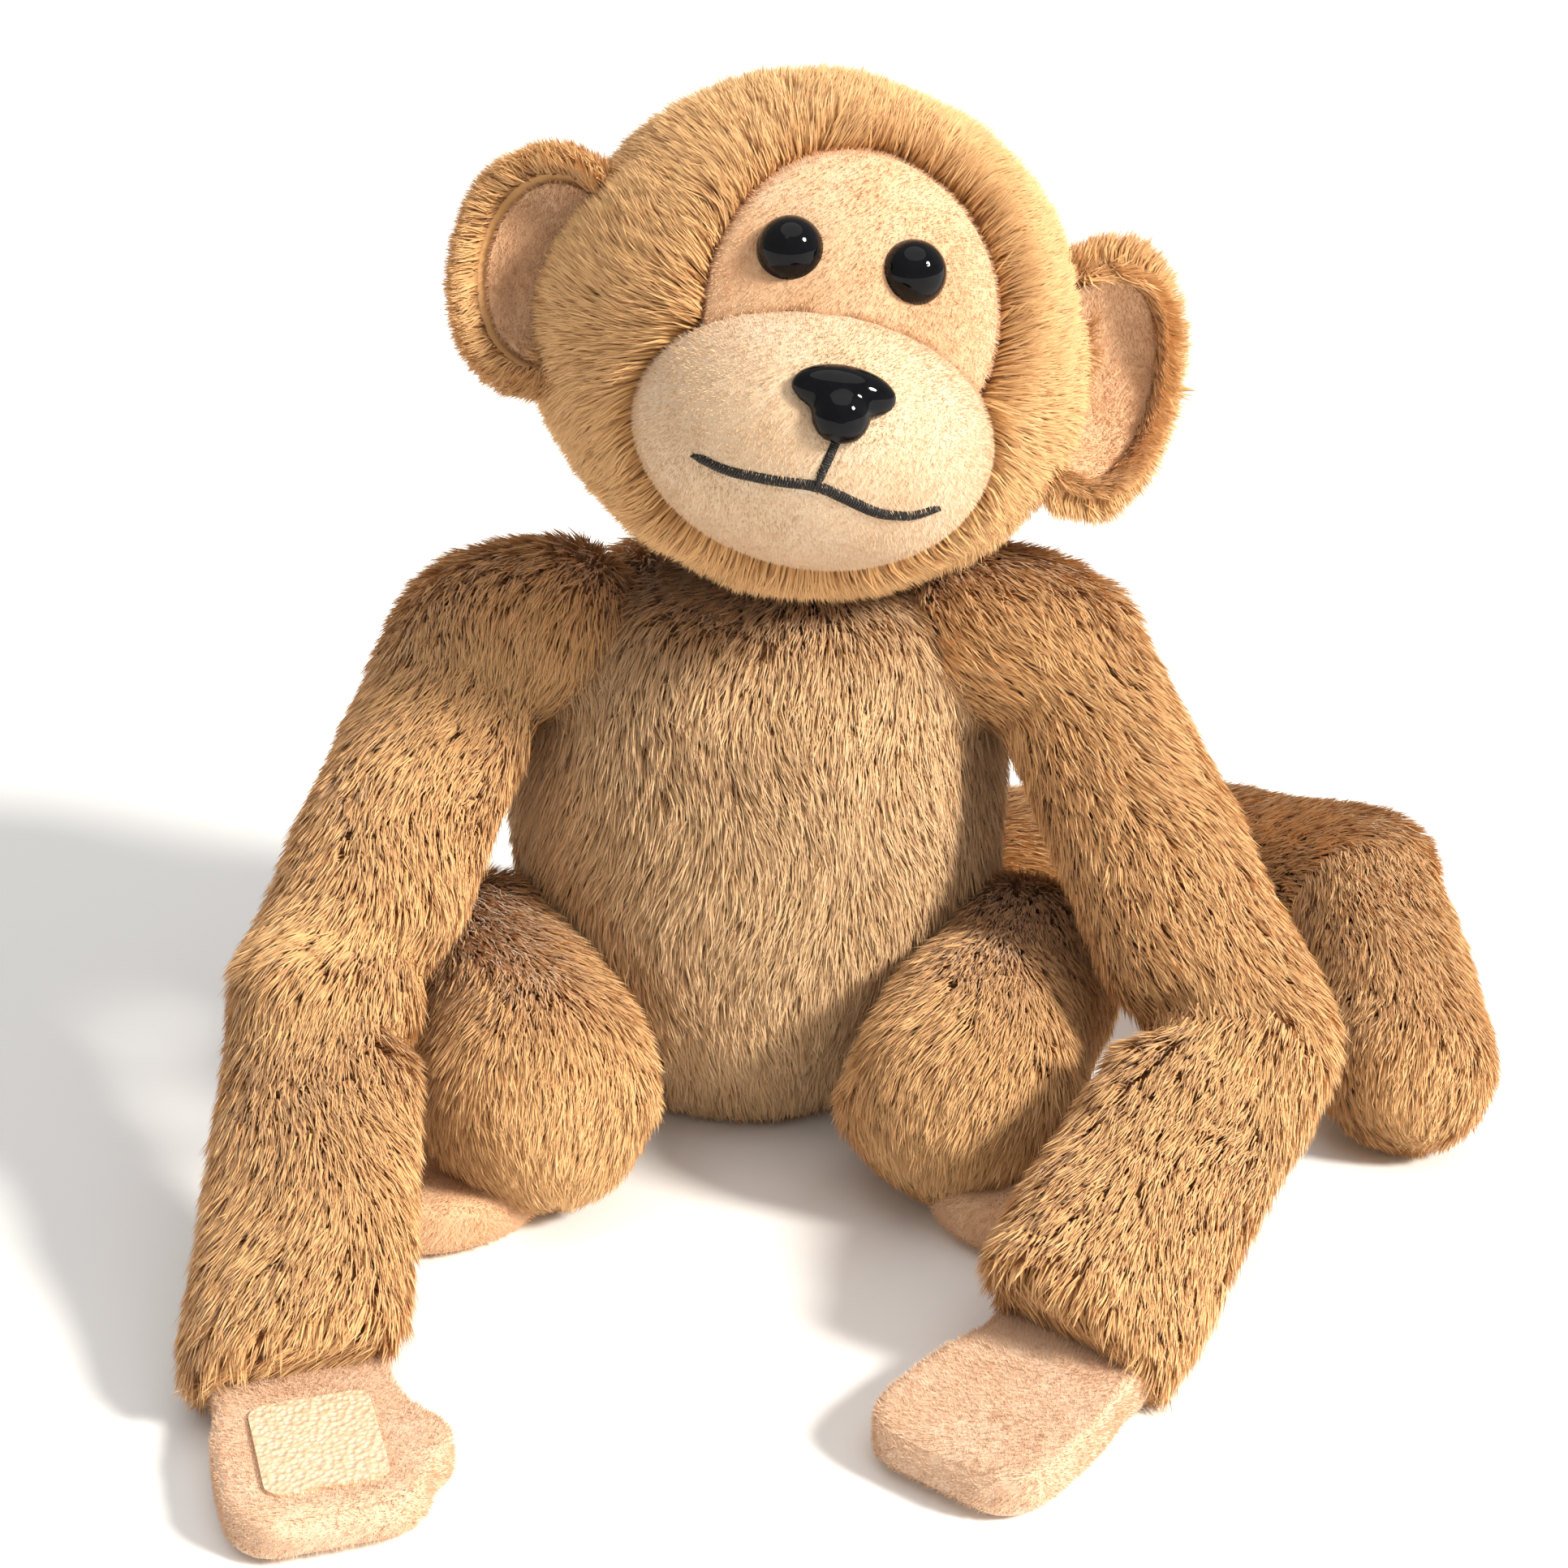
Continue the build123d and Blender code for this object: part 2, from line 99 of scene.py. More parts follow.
# how many hairs each piece starts with, before its keep test
HAIRS = {
    "torso_fur_front": 132000, "torso_fur_back": 104000, "head_fur_front": 150000, "head_fur_back": 112000,
    "face_pile": 26000, "muzzle_pile": 60000, "ear_pile": 16000, "ear_fur": 50000, "arm_fur": 66000,
    "hand_pile": 34000, "cuff_pile": 7000, "leg_fur": 50000, "foot_pile": 24000, "tail_fur": 88000,
}
SEEDS = {
    "torso": 11, "head": 21, "face": 31, "muzzle": 32, "ear_pile": 41, "ear_fur": 44,
    "arm": 51, "hand": 61, "cuff": 67, "leg": 71, "foot": 81, "tail": 91,
}
# the lowest height at which a hair may root, so that none is pressed under the floor
LOWEST_ROOT = {
    "torso": 2.5 * MM, "arm": 1.5 * MM, "hand": 2 * MM, "leg": 3.5 * MM, "foot": 1.5 * MM, "tail": 1.5 * MM,
}

# added stuffing: centre and half sizes in mm at the chest, half sizes in mm at the folds
CHEST_PADS = [
    ((12, -8, 103), (36, 29, 13)),
    ((-27, -9, 97), (14, 18, 13)),
    ((42, -9, 97), (14, 18, 13)),
]
ELBOW_PAD = (16.5, 16.5, 15)
TAIL_PADS = ((15, 15, 14), (16, 16, 15.5))
# balls along the swing axis that carry the arm's root into the shoulder: reach in, radius in mm
SHOULDER_REACH = [(6 * MM, 17.0), (12 * MM, 16.5), (18 * MM, 15.5)]

# the rest of this block is in mm
SLEEVE_PAST_WRIST, COMB_PAST_WRIST = 7, 4
EAR_ROOT_ACROSS, EAR_ROOT_UP = 40, 6
CLEAR_OF_LINING = 1.6 * MM
RIGHT_EAR_SHARE = 0.86
LEG_COMB_AHEAD, LEG_COMB_DROP = 12, 16
TAIL_END = Vector((0, -14, -12))
HAND_CROWN, THUMB_RISE, THUMB_CREASE, HAND_RIM, WRIST_TAPER = 2.4, 2.6, 2.2, 0.8, 0.13
CUFF_AHEAD, CUFF_LEVEL, CUFF_CROWN = 9.5, 10.6, 1.6
CUFF_HALF_DEPTH, CUFF_HALF_HEIGHT, CUFF_HALF_WIDTH, CUFF_WAVER, CUFF_SQUARE = 3.6, 2.0, 17.2, 0.5, 0.45
LEFT_FOOT_RISE, LEFT_FOOT_RISE_START, LEFT_FOOT_RISE_RUN = 11 * MM, 6 * MM, 22 * MM

# the smile's height at places across it, in the head's frame, and the line under the nose
SMILE = [
    (-22.5, -23.4), (-17, -25.0), (-8, -25.0), (-1, -24.4), (5, -26.0), (11, -27.6), (18, -27.0), (22, -24.6),
]
SMILE_PLACES, SMILE_SMOOTHING = 96, 11
# the angles of a thread's five edges, in radians
THREAD_CORNERS = (0, 1.26, 2.51, 3.77, 5.03)
LIP_PLACES = 22

# each lamp's name, direction, softness in degrees, power and colour, then the sky and the camera
KEY_LAMP = ("key", (1.0, -0.5, 0.8), 12, 4.7, (1, 0.95, 0.86))
TOP_LAMP = ("top", (0.1, -0.1, 1.4), 60, 0.9, (1, 0.98, 0.95))
SKY_AS_LIGHT, SKY_AS_SEEN = 0.42, 1.0
CAMERA_PLACE = (0.0105, -0.55544, 0.31032)
CAMERA_TILT = 66
CAMERA_LENS, CAMERA_SENSOR = 66.07, 36


def joint_place(name):
    return Vector(JOINTS[name]["pos_m"])


def middle_of(node):
    low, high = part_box(node)
    return (Vector(low) + Vector(high)) / 2


def nodes_of(*names):
    return [frame["nodes"][name] for name in names]


# ---- materials

def shader(name):
    material = bpy.data.materials.new(name)
    material.use_nodes = True
    nodes = material.node_tree.nodes
    return material, nodes, material.node_tree.links, nodes["Principled BSDF"]


def add(nodes, kind, **settings):
    node = nodes.new("ShaderNode" + kind)
    for key, value in settings.items():
        if hasattr(node, key):
            setattr(node, key, value)
        else:
            node.inputs[key.replace("_", " ")].default_value = value
    return node


def ramp(nodes, stops):
    node = nodes.new("ShaderNodeValToRGB")
    bar = node.color_ramp
    while len(bar.elements) < len(stops):
        bar.elements.new(0.5)
    for element, (place, colour) in zip(bar.elements, stops):
        element.position = place
        element.color = (*colour, 1)
    return node


def set_inputs(node, **values):
    for key, value in values.items():
        node.inputs[key.replace("_", " ")].default_value = value


def colour_product(nodes, links, first, second, surface):
    """The surface takes the product of two ramps."""
    blend = add(nodes, "Mix", data_type="RGBA", blend_type="MULTIPLY")
    blend.inputs["Factor"].default_value = 1.0
    links.new(first.outputs["Color"], blend.inputs["A"])
    links.new(second.outputs["Color"], blend.inputs["B"])
    links.new(blend.outputs["Result"], surface.inputs["Base Color"])


def hair_material(name, root_to_tip, hair_to_hair):
    """Colour runs from root to tip along each hair, and from dark to pale between hairs."""
    material, nodes, links, surface = shader(name)
    place = add(nodes, "UVMap", uv_map=FUR_MAP)
    split = add(nodes, "SeparateXYZ")
    links.new(place.outputs["UV"], split.inputs["Vector"])
    along = ramp(nodes, root_to_tip)
    links.new(split.outputs["Y"], along.inputs["Fac"])
    between = ramp(nodes, hair_to_hair)
    links.new(split.outputs["X"], between.inputs["Fac"])
    colour_product(nodes, links, along, between, surface)
    return material, surface


def fur_material(name, root, middle, tip, pale):
    material, surface = hair_material(
        name,
        [(0.0, root), (0.38, middle), (1.0, tip)],
        [(0.0, (0.72, 0.68, 0.62)), (0.55, (1.0, 1.0, 1.0)), (1.0, pale)],
    )
    set_inputs(surface, Roughness=0.62, Specular_IOR_Level=0.25, Sheen_Weight=0.25, Sheen_Roughness=0.5)
    return material


def pile_material(name, root, tip):
    """The short hairs that stand on the velour."""
    material, surface = hair_material(
        name,
        [(0.0, root), (1.0, tip)],
        [(0.0, (0.9, 0.88, 0.86)), (1.0, (1.0, 1.0, 1.0))],
    )
    set_inputs(surface, Roughness=0.8, Specular_IOR_Level=0.2, Sheen_Weight=0.3)
    return material


def velour_material(name, deep, light, worn):
    """Short plush: a fine nap, patches brushed lighter, and darker patches."""
    material, nodes, links, surface = shader(name)
    place = add(nodes, "TexCoord")
    nap = add(nodes, "TexNoise", Scale=2600.0, Detail=3.0, Roughness=0.6)
    patch = add(nodes, "TexNoise", Scale=85.0, Detail=4.0, Roughness=0.55)
    for texture in (nap, patch):
        links.new(place.outputs["Object"], texture.inputs["Vector"])
    colours = ramp(nodes, [(0.25, deep), (0.55, light), (0.8, worn)])
    links.new(patch.outputs["Fac"], colours.inputs["Fac"])
    grain = ramp(nodes, [(0.3, (0.86, 0.84, 0.82)), (0.7, (1.0, 1.0, 1.0))])
    links.new(nap.outputs["Fac"], grain.inputs["Fac"])
    colour_product(nodes, links, colours, grain, surface)
    bump = add(nodes, "Bump", Strength=0.55, Distance=0.0004)
    links.new(nap.outputs["Fac"], bump.inputs["Height"])
    links.new(bump.outputs["Normal"], surface.inputs["Normal"])
    set_inputs(surface, Roughness=0.85, Specular_IOR_Level=0.2, Sheen_Weight=0.45, Sheen_Roughness=0.45)
    return material


def gloss_material(name, colour, rough, coat):
    """Moulded gloss plastic with faint handling haze."""
    material, nodes, links, surface = shader(name)
    place = add(nodes, "TexCoord")
    haze = add(nodes, "TexNoise", Scale=420.0, Detail=5.0, Roughness=0.6)
    links.new(place.outputs["Object"], haze.inputs["Vector"])
    shine = add(nodes, "MapRange")
    set_inputs(shine, From_Min=0.35, From_Max=0.75, To_Min=rough, To_Max=rough * 2.2)
    links.new(haze.outputs["Fac"], shine.inputs["Value"])
    links.new(shine.outputs["Result"], surface.inputs["Roughness"])
    tone = ramp(nodes, [(0.3, colour), (0.8, tuple(c * 1.6 + 0.002 for c in colour))])
    links.new(haze.outputs["Fac"], tone.inputs["Fac"])
    links.new(tone.outputs["Color"], surface.inputs["Base Color"])
    set_inputs(surface, Specular_IOR_Level=0.2, Coat_Weight=coat, Coat_Roughness=0.04)
    return material


def thread_material(name, dark, light):
    """Twisted embroidery thread."""
    material, nodes, links, surface = shader(name)
    place = add(nodes, "TexCoord")
    twist = add(nodes, "TexWave", Scale=1500.0, Distortion=1.5, Detail=2.0)
    links.new(place.outputs["Object"], twist.inputs["Vector"])
    tone = ramp(nodes, [(0.2, dark), (0.9, light)])
    links.new(twist.outputs["Fac"], tone.inputs["Fac"])
    links.new(tone.outputs["Color"], surface.inputs["Base Color"])
    bump = add(nodes, "Bump", Strength=0.4, Distance=0.0001)
    links.new(twist.outputs["Fac"], bump.inputs["Height"])
    links.new(bump.outputs["Normal"], surface.inputs["Normal"])
    surface.inputs["Roughness"].default_value = 0.6
    return material


def hook_material(name):
    """Hook tape: a pale open weave with small catching glints. These are partly real gloss where the weave is
    smoother, and partly painted glints: pale spots at the cell centres.
    """
    material, nodes, links, surface = shader(name)
    place = add(nodes, "TexCoord")
    cells = add(nodes, "TexVoronoi", Scale=900.0)
    weave = add(nodes, "TexNoise", Scale=700.0, Detail=3.0)
    for texture in (cells, weave):
        links.new(place.outputs["Object"], texture.inputs["Vector"])
    # painted glints: the pale colour fills small spots at the cell centres
    pale, middle, deep = (0.95, 0.82, 0.66), (0.84, 0.62, 0.42), (0.76, 0.54, 0.35)
    tone = ramp(nodes, [(0.12, pale), (0.4, middle), (0.9, deep)])
    links.new(cells.outputs["Distance"], tone.inputs["Fac"])
    links.new(tone.outputs["Color"], surface.inputs["Base Color"])
    shine = ramp(nodes, [(0.45, (0.75, 0.75, 0.75)), (0.62, (0.25, 0.25, 0.25))])
    links.new(weave.outputs["Fac"], shine.inputs["Fac"])
    links.new(shine.outputs["Color"], surface.inputs["Roughness"])
    bump = add(nodes, "Bump", Strength=0.8, Distance=0.0005)
    links.new(cells.outputs["Distance"], bump.inputs["Height"])
    links.new(bump.outputs["Normal"], surface.inputs["Normal"])
    return material


FUR = fur_material("golden_fur", (0.5, 0.26, 0.1), (0.68, 0.385, 0.15), (0.84, 0.53, 0.25), (1.08, 1.1, 1.14))
BELLY_FUR = fur_material(
    "belly_fur", (0.44, 0.24, 0.1), (0.62, 0.38, 0.17), (0.82, 0.57, 0.33), (1.08, 1.12, 1.18))
PEACH = velour_material("peach_velour", (0.74, 0.44, 0.24), (0.84, 0.56, 0.34), (0.88, 0.64, 0.43))
HAND = velour_material("hand_velour", (0.78, 0.52, 0.34), (0.85, 0.61, 0.43), (0.88, 0.67, 0.5))
CUFF = velour_material("cuff_velour", (0.5, 0.28, 0.16), (0.68, 0.44, 0.28), (0.76, 0.52, 0.35))
CREAM = velour_material("muzzle_velour", (0.76, 0.54, 0.34), (0.84, 0.64, 0.44), (0.88, 0.72, 0.54))
BLACK = gloss_material("black_gloss", (0.002, 0.002, 0.003), 0.035, 0.0)
WASHER = gloss_material("washer_white", (0.7, 0.7, 0.68), 0.35, 0.0)
THREAD = thread_material("black_thread", (0.006, 0.005, 0.005), (0.03, 0.026, 0.024))
HOOKS = hook_material("hook_tape")
PEACH_PILE = pile_material("peach_pile", (0.8, 0.52, 0.31), (0.88, 0.61, 0.39))
CUFF_PILE = pile_material("cuff_pile", (0.6, 0.37, 0.22), (0.76, 0.52, 0.35))
HAND_PILE = pile_material("hand_pile", (0.82, 0.57, 0.38), (0.88, 0.65, 0.47))
CREAM_PILE = pile_material("cream_pile", (0.76, 0.56, 0.36), (0.87, 0.67, 0.47))


# ---- mesh helpers

def select_only(obj):
    bpy.ops.object.select_all(action="DESELECT")
    obj.select_set(True)
    bpy.context.view_layer.objects.active = obj


def in_scene(name, data):
    obj = bpy.data.objects.new(name, data)
    bpy.context.scene.collection.objects.link(obj)
    return obj


def unit_ball(name, segments, rings):
    """A ball of radius 1 with its faces in a fixed order. Blender lists them in a new order
    each run, and the draws that place hairs follow that order."""
    work = bmesh.new()
    bmesh.ops.create_uvsphere(work, u_segments=segments, v_segments=rings, radius=1)
    work.verts.index_update()
    faces = []
    for face in work.faces:
        corners = [vert.index for vert in face.verts]
        first = corners.index(min(corners))
        faces.append(corners[first:] + corners[:first])
    mesh = bpy.data.meshes.new(name)
    mesh.from_pydata([vert.co[:] for vert in work.verts], [], sorted(faces))
    work.free()
    return in_scene(name, mesh)


def from_head(place):
    """A place in the head's own upright frame, as the whole toy's frame has it."""
    return HEAD_TURN @ place + HEAD_CENTRE


def keep_outer(work):
    """Leaves the one connected shell with the largest box."""
    work.verts.index_update()
    seen = set()
    shells = []
    for start in work.verts:
        if start.index in seen:
            continue
        seen.add(start.index)
        shell = [start]
        for vert in shell:
            for edge in vert.link_edges:
                other = edge.other_vert(vert)
                if other.index not in seen:
                    seen.add(other.index)
                    shell.append(other)
        shells.append(shell)
    reach = [
        sum(max(vert.co[i] for vert in shell) - min(vert.co[i] for vert in shell) for i in range(3))
        for shell in shells
    ]
    best = reach.index(max(reach))
    spare = [vert for i, shell in enumerate(shells) if i != best for vert in shell]
    bmesh.ops.delete(work, geom=spare, context="VERTS")


def soft_form(name, sources, voxel, rounds, sink, pads=(), ripple=0.0):
    """One smooth closed form around the outer shells of CAD nodes and added pads of stuffing,
    sunk under the pile."""
    whole = bmesh.new()
    for centre, half in pads:
        place = Matrix.Translation(Vector(centre) * MM) @ Matrix.Diagonal((*(h * MM for h in half), 1))
        bmesh.ops.create_uvsphere(whole, u_segments=48, v_segments=32, radius=1, matrix=place)
    for source in sources:
        work = bmesh.new()
        work.from_mesh(source.data)
        bmesh.ops.remove_doubles(work, verts=work.verts, dist=1e-6)
        keep_outer(work)
        shell = bpy.data.meshes.new("shell")
        work.to_mesh(shell)
        work.free()
        whole.from_mesh(shell)
        bpy.data.meshes.remove(shell)
    mesh = bpy.data.meshes.new(name)
    whole.to_mesh(mesh)
    whole.free()
    form = in_scene(name, mesh)
    select_only(form)
    mesh.remesh_voxel_size = voxel
    bpy.ops.object.voxel_remesh()
    mesh = form.data
    work = bmesh.new()
    work.from_mesh(mesh)
    keep_outer(work)
    for _ in range(rounds):
        bmesh.ops.smooth_vert(
            work, verts=work.verts, factor=0.5, use_axis_x=True, use_axis_y=True, use_axis_z=True)
    work.normal_update()
    spots = np.array([vert.co for vert in work.verts])
    swell = wave(spots, 11 * MM) * ripple * MM
    for vert, rise in zip(work.verts, swell.tolist()):
        vert.co += vert.normal * (rise - sink)
    bmesh.ops.recalc_face_normals(work, faces=work.faces)
    work.to_mesh(mesh)
    work.free()
    mesh.shade_smooth()
    return form


def dress(obj, material, slot, body, *replaced, fill=None):
    obj.data.materials.clear()
    obj.data.materials.append(material)
    if replaced:
        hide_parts(*replaced)
    if body:
        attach(obj, body)
    return obj


def mark_map(obj, shade, along):
    """Gives every corner of a base the same place on the fur colours."""
    layer = obj.data.uv_layers.new(name=FUR_MAP)
    count = len(obj.data.loops)
    places = np.empty((count, 2), dtype=np.float32)
    corners = np.empty(count, dtype=np.int32)
    obj.data.loops.foreach_get("vertex_index", corners)
    spots = np.empty(len(obj.data.vertices) * 3, dtype=np.float32)
    obj.data.vertices.foreach_get("co", spots)
    spots = spots.reshape(-1, 3)[corners]
    places[:, 0] = shade + 0.25 * wave(spots, 0.006)
    places[:, 1] = along + 0.1 * wave(spots, 0.004)
    layer.uv.foreach_set("vector", places.clip(0.01, 0.99).ravel())


def wave(points, size):
    """Smooth wandering values from -1 to 1 that change over the given size."""
    turns = points / size
    x, y, z = turns[:, 0], turns[:, 1], turns[:, 2]
    first = np.sin(1.3 * x + 0.7 * y + 0.2) * np.cos(1.1 * z - 0.6 * x + 1.7)
    second = np.sin(0.9 * y - 1.2 * z + 2.3) * np.cos(0.8 * x + 1.4 * y - 0.4)
    third = np.sin(2.1 * x - 1.7 * z + 1.1) * np.cos(1.9 * y + 2.3 * x)
    return (first + second + 0.5 * third) / 2.5


def unit(vectors):
    return vectors / np.maximum(np.linalg.norm(vectors, axis=1, keepdims=True), 1e-12)


def scatter(obj, count, draw):
    """Even random places on a mesh: points and smooth normals."""
    mesh = obj.data
    mesh.calc_loop_triangles()
    tris = np.empty(len(mesh.loop_triangles) * 3, dtype=np.int32)
    mesh.loop_triangles.foreach_get("vertices", tris)
    tris = tris.reshape(-1, 3)
    spots = np.empty(len(mesh.vertices) * 3)
    mesh.vertices.foreach_get("co", spots)
    spots = spots.reshape(-1, 3)
    normals = np.empty(len(mesh.vertices) * 3)
    mesh.vertices.foreach_get("normal", normals)
    normals = normals.reshape(-1, 3)
    a, b, c = (spots[tris[:, i]] for i in range(3))
    area = np.linalg.norm(np.cross(b - a, c - a), axis=1)
    pick = draw.choice(len(tris), size=count, p=area / area.sum())
    u = np.sqrt(draw.random(count))[:, None]
    v = draw.random(count)[:, None]
    share = np.hstack([1 - u, u * (1 - v), u * v])
    points = sum(spots[tris[pick, i]] * share[:, i:i + 1] for i in range(3))
    facing = sum(normals[tris[pick, i]] * share[:, i:i + 1] for i in range(3))
    return points, unit(facing)


def hair_paths(points, normals, comb, length, lay, draw, steps, swirl):
    """Each hair's points from root to tip, leaning over from the normal to the comb."""
    count = len(points)
    along = comb(points, normals)
    along = unit(along - normals * (along * normals).sum(1, keepdims=True))
    side = np.cross(normals, along)
    turn = swirl * wave(points, 0.011) + draw.normal(0, 0.22, count)
    along = along * np.cos(turn)[:, None] + side * np.sin(turn)[:, None]
    reach = length * (0.82 + 0.3 * draw.random(count) + 0.16 * wave(points, 0.007))
    place = points - normals * 0.4 * MM
    paths = [place]
    for step in range(steps):
        lean = np.radians(lay[0] + (lay[1] - lay[0]) * step / max(steps - 1, 1))
        lean = lean + draw.normal(0, 0.1, count)
        heading = normals * np.cos(lean)[:, None] + along * np.sin(lean)[:, None]
        place = place + heading * (reach / steps)[:, None]
        paths.append(place)
    return np.stack(paths, 1)


def gather(paths, share, pull):
    """Draws the tips of neighbouring hairs together into locks."""
    leaders = np.arange(0, len(paths), share)
    tree = KDTree(len(leaders))
    for i, leader in enumerate(leaders):
        tree.insert(paths[leader, 0], i)
    tree.balance()
    nearest = leaders[[tree.find(root)[1] for root in paths[:, 0]]]
    steps = paths.shape[1]
    weight = pull * (np.arange(steps) / (steps - 1)) ** 1.2
    target = paths[nearest]
    return paths + (target - paths) * weight[None, :, None], nearest


def hair_mesh(name, paths, normals, width, shade, draw, roll=0.6):
    """Flat tapered hairs, two edges and a tip each, with colour places on the fur map."""
    count, steps, _ = paths.shape
    heading = unit(paths[:, -1] - paths[:, 0])
    side = unit(np.cross(heading, normals))
    lift = np.cross(side, heading)
    angle = draw.normal(0, roll, count)[:, None]
    side = side * np.cos(angle) + lift * np.sin(angle)
    taper = np.array([1.0, 0.95, 0.8, 0.6, 0.4])[:steps - 1]
    widths = width * (0.75 + 0.5 * draw.random(count))
    offset = side[:, None, :] * (widths[:, None] * taper[None, :] / 2)[:, :, None]
    body = paths[:, :-1]
    rows = np.stack([body - offset, body + offset], 2).reshape(count, -1, 3)
    verts = np.concatenate([rows, paths[:, -1:]], 1)
    verts[:, :, 2] = np.maximum(verts[:, :, 2], FLOOR_CLEARANCE)
    per = 2 * (steps - 1) + 1
    quads = steps - 2
    loops = []
    places = []
    for q in range(quads):
        loops += [2 * q, 2 * q + 1, 2 * q + 3, 2 * q + 2]
        low, high = q / (steps - 1), (q + 1) / (steps - 1)
        places += [(-1, low), (1, low), (1, high), (-1, high)]
    loops += [2 * quads, 2 * quads + 1, per - 1]
    places += [(-1, quads / (steps - 1)), (1, quads / (steps - 1)), (0, 1.0)]
    loops = np.array(loops, dtype=np.int32)
    places = np.array(places, dtype=np.float32)
    mesh = bpy.data.meshes.new(name)
    mesh.vertices.add(count * per)
    mesh.vertices.foreach_set("co", verts.astype(np.float32).ravel())
    corners = (loops[None, :] + per * np.arange(count)[:, None]).astype(np.int32)
    mesh.loops.add(corners.size)
    mesh.loops.foreach_set("vertex_index", corners.ravel())
    sizes = np.array([4] * quads + [3], dtype=np.int32)
    starts = np.concatenate([[0], np.cumsum(sizes)[:-1]])
    starts = (starts[None, :] + len(loops) * np.arange(count)[:, None]).astype(np.int32)
    mesh.polygons.add(starts.size)
    mesh.polygons.foreach_set("loop_start", starts.ravel())
    mesh.update(calc_edges=True)
    layer = mesh.uv_layers.new(name=FUR_MAP)
    uv = np.empty((count, len(loops), 2), dtype=np.float32)
    uv[:, :, 0] = shade[:, None] + places[None, :, 0] * 0.004
    uv[:, :, 1] = places[None, :, 1]
    layer.uv.foreach_set("vector", uv.clip(0.003, 0.997).ravel())
    mesh.shade_smooth()
    return in_scene(name, mesh)


def hair_roots(base, count, seed, keep):
    """The seeded draw, and the roots and normals that pass the keep test."""
    draw = np.random.default_rng(seed)
    points, normals = scatter(base, count, draw)
    if keep is not None:
        held = keep(points, normals)
        points, normals = points[held], normals[held]
    return draw, points, normals


def grow_fur(name, base, count, comb, seed, keep, lay, tone, length=FUR_LENGTH, swirl=0.55):
    """Combed fur on a base form. keep says which roots stay, lay how far root and tip lean."""
    width = FUR_WIDTH
    draw, points, normals = hair_roots(base, count, seed, keep)
    paths = hair_paths(points, normals, comb, length, lay, draw, FUR_STEPS, swirl)
    paths, nearest = gather(paths, LOCK_HAIRS, LOCK_PULL)
    lock_tone = draw.random(len(points))[nearest]
    shade = tone + 0.2 * wave(points, 0.018) + 0.22 * (lock_tone - 0.5) + draw.normal(0, 0.12, len(points))
    return hair_mesh(name, paths, normals, width, shade.clip(0.02, 0.98), draw)


def grow_velour(name, base, count, comb, seed, keep=None):
    """Short standing pile of one-triangle hairs."""
    draw, points, normals = hair_roots(base, count, seed, keep)
    paths = hair_paths(points, normals, comb, VELOUR_LENGTH, VELOUR_LAY, draw, 1, VELOUR_SWIRL)
    shade = 0.5 + 0.3 * wave(points, 0.012) + draw.normal(0, 0.15, len(points))
    return hair_mesh(name, paths, normals, VELOUR_WIDTH, shade.clip(0.02, 0.98), draw, roll=1.0)


# ---- combs: the way the fur lies

def toward(point):
    place = np.array(point)
    return lambda points, normals: unit(place[None, :] - points)


def away_from(point):
    place = np.array(point)
    return lambda points, normals: unit(points - place[None, :])


def along_route(route):
    """Fur lies along a limb, from its first point to its last."""
    starts = np.array(route[:-1])
    steps = np.array(route[1:]) - starts

    def comb(points, normals):
        best = np.full(len(points), np.inf)
        heading = np.zeros_like(points)
        for start, step in zip(starts, steps):
            share = ((points - start) @ step / (step @ step)).clip(0, 1)
            gap = np.linalg.norm(points - start - share[:, None] * step, axis=1)
            near = gap < best
            best[near] = gap[near]
            heading[near] = unit(step[None, :])[0]
        return heading
    return comb


def downward(points, normals):
    fall = np.tile([0.0, -0.25, -1.0], (len(points), 1))
    return fall + 0.35 * normals * [1, 1, 0]


def head_places(points):
    """Points as the head's own upright frame has them."""
    turn = np.array(HEAD_TURN)
    return (points - np.array(HEAD_CENTRE)) @ turn


def head_comb(points, normals):
    local = head_places(points)
    face = np.array([0.0, -0.04, -0.004])
    outward = local - face
    outward[:, 1] = np.maximum(outward[:, 1], 0.012) * 1.2
    outward[:, 2] = outward[:, 2] * np.where(local[:, 1] > 0, 0.2, 1.0)
    back = np.clip(local[:, 1] / 0.04, 0, 1)
    outward[:, 2] -= 0.05 * back
    return outward @ np.array(HEAD_TURN).T


def face_share(x, z):
    """0 in the middle of the face panel, 1 on its seam."""
    return np.hypot((x - FACE_MIDDLE[0]) / FACE_HALF[0], (z - FACE_MIDDLE[1]) / FACE_HALF[1])


def on_face(points, margin):
    """Which places lie under the face panel or the muzzle."""
    local = head_places(points)
    disc = face_share(local[:, 0], local[:, 2]) < 1 + margin / FACE_HALF[0]
    x = local[:, 0] / (MUZZLE_HALF.x + margin)
    z = (local[:, 2] - MUZZLE_CENTRE.z) / (MUZZLE_HALF.z + margin)
    oval = np.hypot(x, z) < 1
    return (local[:, 1] < -0.008) & (disc | oval)


# ---- torso

def above(part):
    """Keeps the roots that stand clear of the floor."""
    return lambda points, normals: points[:, 2] > LOWEST_ROOT[part]


def outside_ball(centre, radius):
    place = np.array(centre)
    return lambda points: np.linalg.norm(points - place[None, :], axis=1) > radius


